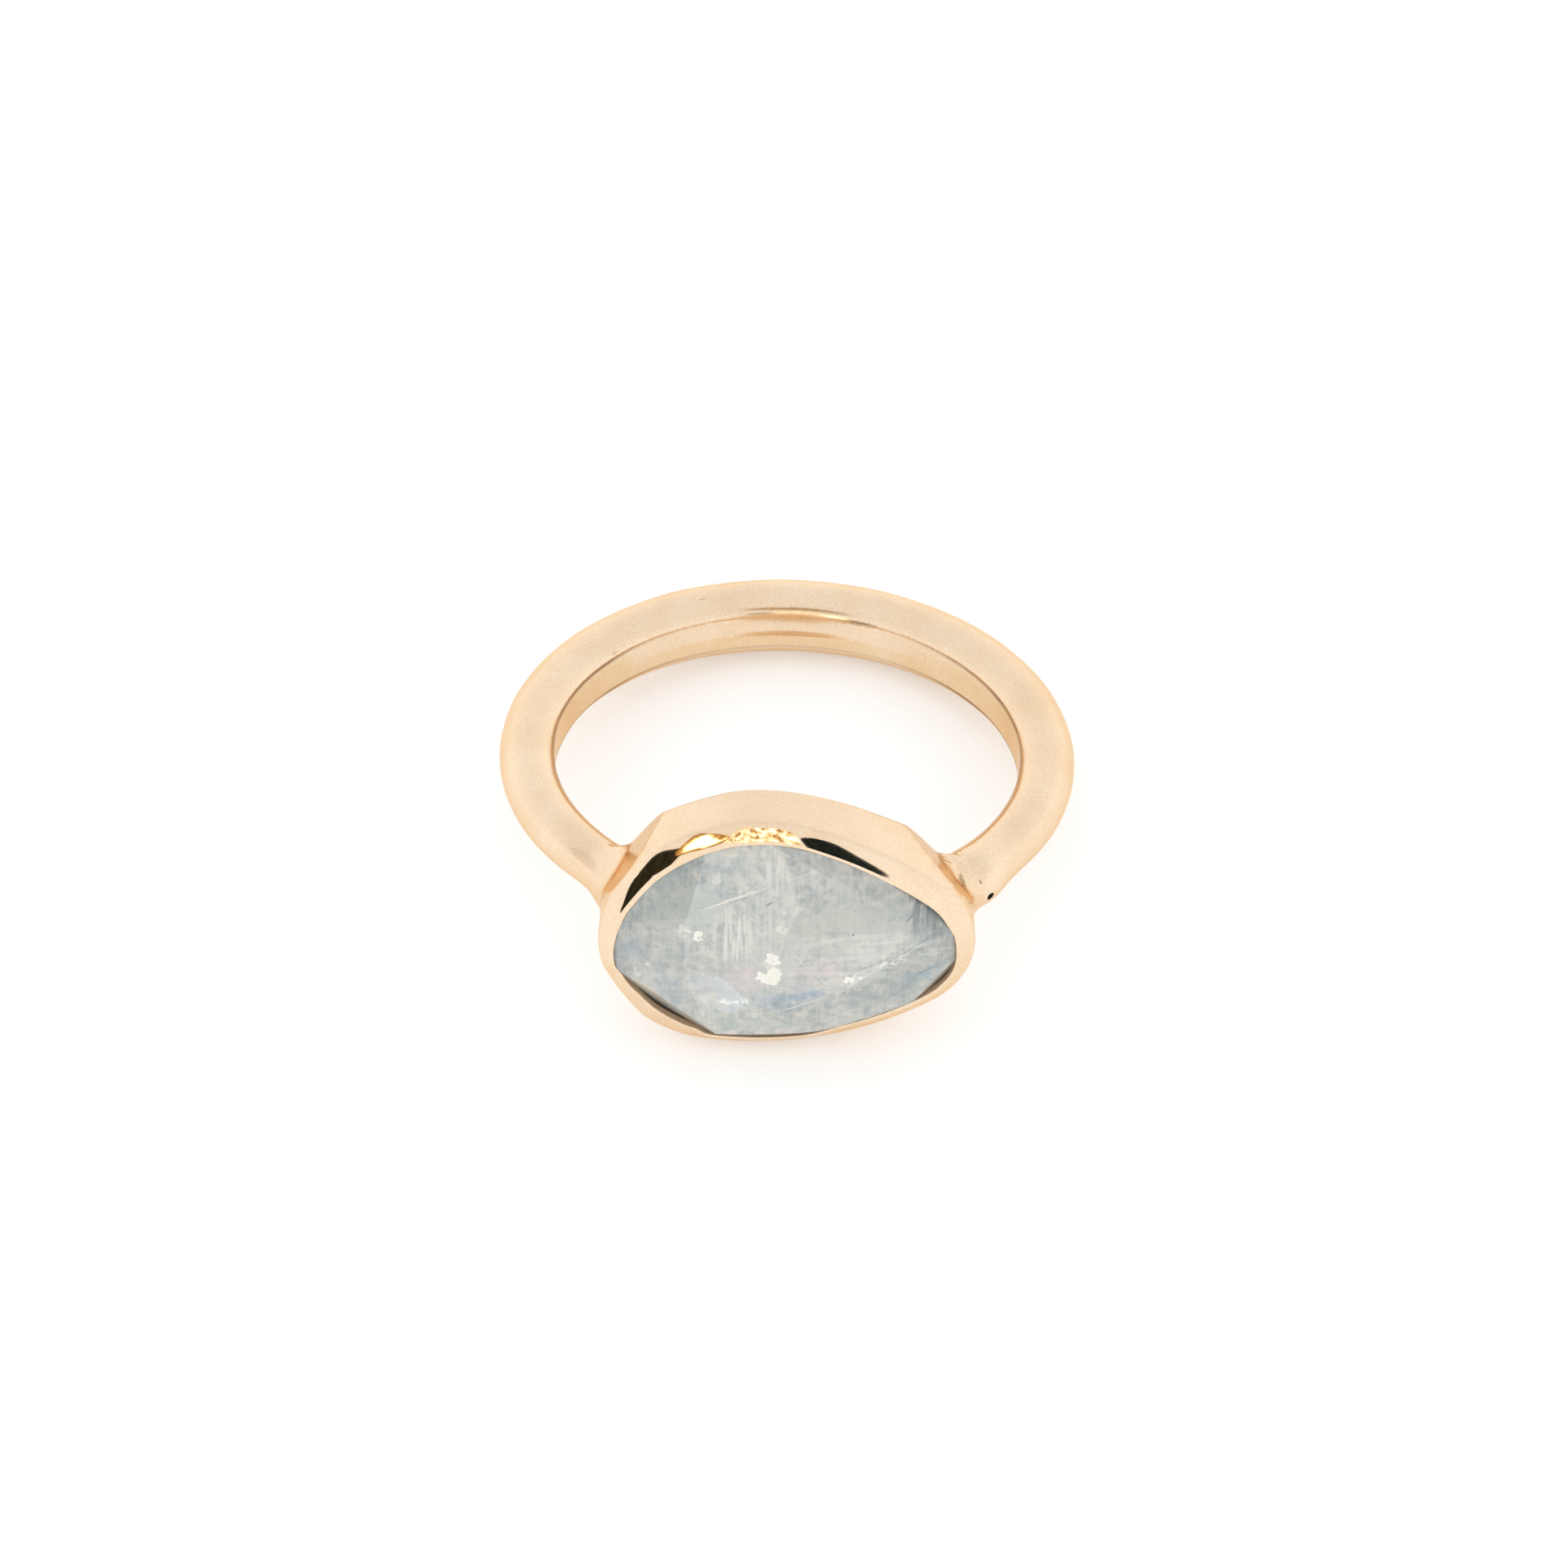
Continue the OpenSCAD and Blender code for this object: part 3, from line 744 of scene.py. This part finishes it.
def moonstone_material():
    """White moonstone: polished feldspar of refractive index 1.53. Its fine layers scatter the
    light, milky and blue, and its cleavages show as upright striae, slanted layers and bright
    flakes with straight breaks."""
    material, tree, shader, place = new_material("moonstone_feldspar")
    sway = put(tree, "ShaderNodeTexNoise", {"Vector": place, "Scale": 2.5, "Detail": 2.0})
    centred = put(tree, "ShaderNodeVectorMath", {0: sway.outputs["Color"], 1: (0.5, 0.5, 0.5)},
                  operation="SUBTRACT")
    wavy = put(tree, "ShaderNodeVectorMath", {0: centred.outputs[0], 1: (0.12, 0.12, 0.12), 2: place},
               operation="MULTIPLY_ADD").outputs[0]
    cloud = put(tree, "ShaderNodeTexNoise", {
        "Vector": place, "Scale": 1.1, "Detail": 6.0, "Roughness": 0.72})
    haze = put(tree, "ShaderNodeMapRange", {0: cloud.outputs[0], 1: 0.4, 2: 0.62, 3: 0.15, 4: 1.0})
    # Striae stand about 0.1 mm apart and are almost 2 mm long. Layers are nearly 0.2 mm thick.
    upright = put(tree, "ShaderNodeMapping", {
        "Vector": place, "Rotation": (0, 0.06, 0), "Scale": (9.0, 1.0, 0.6)})
    hairs = put(tree, "ShaderNodeTexNoise", {"Vector": upright.outputs[0], "Scale": 1.0, "Detail": 4.0})
    striae = put(tree, "ShaderNodeMapRange", {0: hairs.outputs[0], 1: 0.47, 2: 0.57, 3: 0.0, 4: 1.0})
    slanted = put(tree, "ShaderNodeMapping", {
        "Vector": wavy, "Rotation": (0, 0.42, 0), "Scale": (0.45, 1.0, 6.0)})
    sheets = put(tree, "ShaderNodeTexNoise", {"Vector": slanted.outputs[0], "Scale": 1.0, "Detail": 4.0})
    layers = put(tree, "ShaderNodeMapRange", {0: sheets.outputs[0], 1: 0.45, 2: 0.56, 3: 0.1, 4: 1.0})
    # Flakes are cells about 0.15 mm wide, and the large bright chip is made of wider ones.
    cells = put(tree, "ShaderNodeTexVoronoi", {"Vector": wavy, "Scale": 7.0})
    shards = put(tree, "ShaderNodeTexVoronoi", {"Vector": wavy, "Scale": 4.2})
    cracks = put(tree, "ShaderNodeTexVoronoi", {"Vector": wavy, "Scale": 4.2},
                 feature="DISTANCE_TO_EDGE")
    chips = put(tree, "ShaderNodeMapRange", {
        0: cracks.outputs["Distance"], 1: 0.01, 2: 0.05, 3: 0.7, 4: 1.0})
    veins = put(tree, "ShaderNodeTexVoronoi", {"Vector": wavy, "Scale": 0.9}, feature="DISTANCE_TO_EDGE")
    vein = put(tree, "ShaderNodeMapRange", {
        0: veins.outputs["Distance"], 1: 0.0, 2: 0.035, 3: 1.0, 4: 0.0})
    cell_parts = put(tree, "ShaderNodeSeparateColor", {0: cells.outputs["Color"]})
    flake = put(tree, "ShaderNodeMapRange", {0: cell_parts.outputs[0], 1: 0.35, 2: 0.45, 3: 0.1, 4: 1.0})
    stretched = put(tree, "ShaderNodeMapping", {
        "Vector": wavy, "Rotation": (0, 0.2, 0), "Scale": (0.9, 0.7, 0.5)})
    domains = put(tree, "ShaderNodeTexVoronoi", {"Vector": stretched.outputs[0], "Scale": 1.0})
    domain_parts = put(tree, "ShaderNodeSeparateColor", {0: domains.outputs["Color"]})
    domain = put(tree, "ShaderNodeMapRange", {0: domain_parts.outputs[1], 1: 0.2, 2: 0.8})
    made_of = {
        "domains": domain.outputs[0], "cloud": haze.outputs[0], "striae": striae.outputs[0],
        "layers": layers.outputs[0], "flake": flake.outputs[0], "chips": chips.outputs[0],
        "veins": vein.outputs[0], "plain": 1.0}
    mottle = put(tree, "ShaderNodeTexNoise", {
        "Vector": place, "Scale": 2.8, "Detail": 6.0, "Roughness": 0.72})
    body = put(tree, "ShaderNodeMapRange", {0: mottle.outputs[0], 1: 0.34, 2: 0.66})
    shown = put(tree, "ShaderNodeMix", {0: body.outputs[0], 6: linear("#959EA0"), 7: linear("#D7D2C7")},
                data_type="RGBA").outputs[2]
    for x, y, wide, tall, turned, hex_colour, strength, full, kind in MARKS:
        # Flakes and chips are whole cells, so their edges are straight breaks.
        where = {"flake": cells.outputs["Position"], "chips": shards.outputs["Position"]}.get(kind, wavy)
        spot = put(tree, "ShaderNodeMapping", {
            "Vector": where, "Location": (CUP_X + x, 0, CUP_Z + y),
            "Rotation": (0, -math.radians(turned), 0), "Scale": (wide, RIGHT_THROUGH, tall)},
            vector_type="TEXTURE")
        reach = put(tree, "ShaderNodeVectorMath", {0: spot.outputs[0]}, operation="LENGTH")
        mark = put(tree, "ShaderNodeMapRange", {
            0: reach.outputs["Value"], 1: full, 2: 1.0, 3: strength, 4: 0.0},
            interpolation_type="SMOOTHSTEP")
        share = put(tree, "ShaderNodeMath", {0: mark.outputs[0], 1: made_of[kind]}, operation="MULTIPLY")
        shown = put(tree, "ShaderNodeMix", {0: share.outputs[0], 6: shown, 7: linear(hex_colour)},
                    data_type="RGBA").outputs[2]
    show_on_facets(tree, shader, shown)
    shader.inputs["Roughness"].default_value = 0.07
    shader.inputs["IOR"].default_value = 1.53
    shader.inputs["Subsurface Weight"].default_value = 0.1
    shader.inputs["Subsurface Radius"].default_value = (1.0, 1.1, 1.3)
    shader.inputs["Subsurface Scale"].default_value = 0.25 * MM
    polish = put(tree, "ShaderNodeTexNoise", {"Vector": place, "Scale": 5.0, "Detail": 3.0})
    bump = put(tree, "ShaderNodeBump", {
        "Height": polish.outputs[0], "Strength": 1.0, "Distance": 0.002 * MM})
    tree.links.new(bump.outputs[0], shader.inputs["Normal"])
    return material


def crown_planes():
    """A point and an outward normal for each facet that shows."""
    crown = bmesh.new()
    for x, y, height in STAR:
        corner = Vector((x, y, height))
        share = (APEX.z - TABLE_H) / (APEX.z - height)
        on_table = APEX + share * (corner - APEX)
        bmesh.ops.create_vert(crown, co=in_cup(*on_table))
        bmesh.ops.create_vert(crown, co=in_cup(*corner))
    for direction, inset, height in RIM_CORNERS:
        bmesh.ops.create_vert(crown, co=outline_point(direction, inset, height))
        bmesh.ops.create_vert(crown, co=outline_point(direction, inset, STONE_BASE_H))
    bmesh.ops.convex_hull(crown, input=crown.verts)
    bmesh.ops.dissolve_limit(crown, angle_limit=math.radians(1), verts=crown.verts, edges=crown.edges)
    bmesh.ops.recalc_face_normals(crown, faces=crown.faces)
    planes = [(face.calc_center_median(), face.normal.copy()) for face in crown.faces
              if face.normal.y < FACES_OUT]
    crown.free()
    for first, second, low in SLIVERS:
        start, end = outline_point(*RIM_CORNERS[first]), outline_point(*RIM_CORNERS[second])
        normal = (end - start).cross(outline_point(low, GIRDLE_IN, SLIVER_FOOT_H) - start).normalized()
        planes.append((start, normal if normal.y < 0 else -normal))
    return planes


moonstone_cut = moonstone_material()
stone = bmesh.new()
facet_shade = stone.faces.layers.float.new("painted_facet_shade")
cut_number = stone.faces.layers.int.new("cut_number")
bmesh.ops.create_circle(stone, cap_ends=True, segments=CUP_STATIONS, radius=1)
stone.verts.ensure_lookup_table()
for k, vert in enumerate(stone.verts):
    vert.co = outline_point(360 * k / CUP_STATIONS, GIRDLE_IN, STONE_BASE_H)
grown = bmesh.ops.extrude_face_region(stone, geom=stone.faces[:])["geom"]
bmesh.ops.translate(stone, verts=[item for item in grown if isinstance(item, bmesh.types.BMVert)],
                    vec=(0, STONE_BASE_H - TABLE_H - ROUGH_OVER, 0))
bmesh.ops.recalc_face_normals(stone, faces=stone.faces)
facets = crown_planes()
crown_count = len(facets) - len(SLIVERS)
for number, (point, normal) in enumerate(facets):
    for face in cut_flat(stone, point, normal):
        face[cut_number] = number
bmesh.ops.remove_doubles(stone, verts=stone.verts, dist=1e-4)
bmesh.ops.dissolve_limit(stone, angle_limit=math.radians(1.2), verts=stone.verts, edges=stone.edges)
bmesh.ops.recalc_face_normals(stone, faces=stone.faces)
for face in stone.faces:
    # Painted shade: a facet tilted to the side is drawn darker, as if it sent less of the stone's glow
    # to the eye, and each facet's brightness is varied a little.
    face[facet_shade] = 1 - 0.42 * abs(face.normal.x) + 0.13 * noise.noise(face.calc_center_median())
    face.material_index = int(face[cut_number] >= crown_count)
crown_edges = [edge for edge in stone.edges
               if max(face.normal.y for face in edge.link_faces) < FACES_OUT
               and edge.calc_face_angle() > math.radians(SOFT_EDGE_DEG)]
worn = bmesh.ops.bevel(stone, geom=crown_edges, offset=EDGE_WORN, segments=2, profile=0.5,
                       affect="EDGES", material=-1)
for face in worn["faces"]:
    # Painted highlight: a worn edge is drawn a little brighter than the brighter of its two facets.
    beside = {near for edge in face.edges for near in edge.link_faces} - set(worn["faces"])
    face[facet_shade] = 1.05 * max([near[facet_shade] for near in beside] + [0.85])
# Where three facets only just meet, the bevel leaves faces without any area.
bmesh.ops.dissolve_degenerate(stone, dist=5e-4, edges=stone.edges)
# The steep facets under the lip in a murkier, warmer grey of the same feldspar: painted shade and a
# painted dark reflection where they tilt down under the lip.
sliver_shade, tree, shader, colour = two_tone("moonstone_shaded_slivers", 1.6, "#B3B1A3", "#E8E8DE", 0.08)
show_on_facets(tree, shader, colour)
shader.inputs["IOR"].default_value = 1.53
gem = finish_piece("rose_cut_moonstone", stone, 0.3, moonstone_cut, sliver_shade)
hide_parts("moonstone")

# Floor, light and camera. A plain white board lies under a white studio dome. In front stand
# cards that show only in reflections: dark ones at both sides, and lit and crumpled foils
# between and above them. They give the polished lip its dark streaks and golden glints.

FLOOR_HALF = 600
FLOOR_BELOW = 0.005
floor_mesh = bmesh.new()
bmesh.ops.create_grid(floor_mesh, x_segments=1, y_segments=1, size=FLOOR_HALF * MM)
bmesh.ops.translate(floor_mesh, verts=floor_mesh.verts, vec=(0, 0, -FLOOR_BELOW * MM))
floor_data = bpy.data.meshes.new("floor")
floor_mesh.to_mesh(floor_data)
floor_mesh.free()
floor = bpy.data.objects.new("floor", floor_data)
bpy.context.scene.collection.objects.link(floor)
# Board painted matt white and lit from all sides: an even white with hardly any shadow.
floor_paint, tree, shader, place = new_material("floor_white_board")
shader.inputs["Base Color"].default_value = linear("#F0F0F0")
shader.inputs["Emission Color"].default_value = (1, 1, 1, 1)
shader.inputs["Emission Strength"].default_value = 0.25
shader.inputs["Roughness"].default_value = 0.9
floor_data.materials.append(floor_paint)
# The middle of the rim, which the cards face, and how round a card's corners are for its width.
RIM_MIDDLE = Vector((0, -10.8, 0))
CARD_ROUND = 0.35


def card(name, azimuth, elevation, distance, wide, tall, paint):
    """A card that faces the cup from a direction, in degrees, and a distance in millimetres."""
    azimuth, elevation = math.radians(azimuth), math.radians(elevation)
    outward = Vector((math.sin(azimuth) * math.cos(elevation), -math.cos(azimuth) * math.cos(elevation),
                      math.sin(elevation)))
    middle = lie_down @ RIM_MIDDLE + outward * distance * MM
    bm = bmesh.new()
    bm.loops.layers.uv.new("across_card")
    bmesh.ops.create_grid(bm, x_segments=1, y_segments=1, size=0.5, calc_uvs=True)
    bmesh.ops.scale(bm, verts=bm.verts, vec=(wide * MM, tall * MM, 1))
    bmesh.ops.bevel(bm, geom=bm.verts[:], offset=CARD_ROUND * min(wide, tall) * MM, segments=8,
                    profile=0.5, affect="VERTICES", material=-1)
    turned = outward.to_track_quat("Z", "Y").to_matrix().to_4x4()
    bmesh.ops.transform(bm, matrix=Matrix.Translation(middle) @ turned, verts=bm.verts)
    mesh = bpy.data.meshes.new(name)
    bm.to_mesh(mesh)
    bm.free()
    mesh.materials.append(paint)
    board = bpy.data.objects.new(name, mesh)
    bpy.context.scene.collection.objects.link(board)
    for ray in ("camera", "diffuse", "transmission", "volume_scatter", "shadow"):
        setattr(board, "visible_" + ray, False)


def card_paint(name, columns, rows, shape, tones, glow):
    """The glow of a card with a crumpled pattern, so many creases wide and tall. The shape is how
    far it turns from the first tone to the last towards its border."""
    material, tree, shader, place = new_material(name)
    shader.inputs["Base Color"].default_value = linear("#0A0C0C")
    shader.inputs["Specular IOR Level"].default_value = 0.0
    across = put(tree, "ShaderNodeTexCoord").outputs["UV"]
    tall = put(tree, "ShaderNodeMapping", {"Vector": across, "Scale": (columns, rows, 1)})
    creases = put(tree, "ShaderNodeTexNoise", {
        "Vector": tall.outputs[0], "Scale": 1.0, "Detail": 4.0, "Roughness": 0.7})
    centred = put(tree, "ShaderNodeVectorMath", {0: across, 1: (-0.5, -0.5, 0)}, operation="ADD")
    reach = put(tree, "ShaderNodeVectorMath", {0: centred.outputs[0]}, operation="LENGTH")
    level = put(tree, "ShaderNodeMath", {0: reach.outputs["Value"], 1: shape, 2: creases.outputs[0]},
                operation="MULTIPLY_ADD")
    ramp = put(tree, "ShaderNodeValToRGB", {0: level.outputs[0]})
    for extra in tones[2:]:
        ramp.color_ramp.elements.new(1.0)
    for stop, (position, hex_colour) in zip(ramp.color_ramp.elements, tones):
        stop.position = position
        stop.color = linear(hex_colour)
    tree.links.new(ramp.outputs[0], shader.inputs["Emission Color"])
    shader.inputs["Emission Strength"].default_value = glow
    return material


# Flock is matt and dark, and foil is bright with sharp dark creases.
black_card = card_paint("black_flock_card", 5, 2, 0.0, [(0.4, "#182426"), (0.62, "#34403E")], 0.5)
card("black_card_right", 17.9, 16.5, 120, 21, 46, black_card)
olive_card = card_paint("olive_flock_card", 5, 3, 0.0, [(0.4, "#24281F"), (0.62, "#565038")], 0.5)
card("olive_card_left", -35.5, 10.5, 120, 36, 40, olive_card)
card("olive_card_low", -49.6, 4, 17.3, 3.6, 6, olive_card)
lit_foil = card_paint("gold_foil_lit", 3, 2, 1.1, [
    (0.82, "#FFFFFF"), (0.9, "#FFE6A4"), (0.97, "#B08A50"), (1.0, "#7A5C30")], 2.6)
card("foil_lit", -23.5, 23, 118, 32, 40, lit_foil)
foil = card_paint("gold_foil_crumpled", 10, 3, 0.0, [
    (0.36, "#3A2A14"), (0.43, "#9A7A50"), (0.51, "#DCC8A0"), (0.58, "#FFFFFF")], 2.4)
card("foil_crumpled", -2, 24, 119, 52, 46, foil)
dark_foil = card_paint("bronze_foil_crumpled", 12, 4, 0.0, [
    (0.43, "#2A1E10"), (0.52, "#8A6A40"), (0.6, "#D8B878"), (0.66, "#FFFFFF")], 2.0)
card("foil_above", -2, 54, 119, 90, 34, dark_foil)

# The dome is a little brighter at the horizon than overhead.
world = bpy.data.worlds.new("studio")
world.use_nodes = True
sky = world.node_tree
toward = put(sky, "ShaderNodeTexCoord")
toward_parts = put(sky, "ShaderNodeSeparateXYZ", {0: toward.outputs["Generated"]})
bright = put(sky, "ShaderNodeMapRange", {0: toward_parts.outputs[2], 1: 0.0, 2: 0.7, 3: 1.2, 4: 1.0})
sky.links.new(bright.outputs[0], sky.nodes["Background"].inputs["Strength"])
sky.nodes["Background"].inputs["Color"].default_value = (1, 1, 1, 1)
bpy.context.scene.world = world
bpy.context.scene.view_settings.view_transform = "Standard"

# The photo's camera, in the ring's frame: degrees above the plane of the ring, roll and distance.
CAMERA_ELEVATION = 35.91
CAMERA_ROLL = 1.544
CAMERA_DISTANCE = 140
AIM = Vector((-0.083, -1.41, 0))
camera_data = bpy.data.cameras.new("camera")
camera_data.sensor_width = 36
camera_data.lens = 88.38
camera_data.clip_start = 0.01
camera = bpy.data.objects.new("camera", camera_data)
bpy.context.scene.collection.objects.link(camera)
look = (Matrix.Translation(AIM)
        @ Matrix.Rotation(math.radians(90 - CAMERA_ELEVATION), 4, "X")
        @ Matrix.Translation((0, 0, CAMERA_DISTANCE))
        @ Matrix.Rotation(math.radians(CAMERA_ROLL), 4, "Z"))
placed = lie_down @ look
camera.matrix_world = Matrix.LocRotScale(placed.translation, placed.to_quaternion(), None)
bpy.context.scene.camera = camera
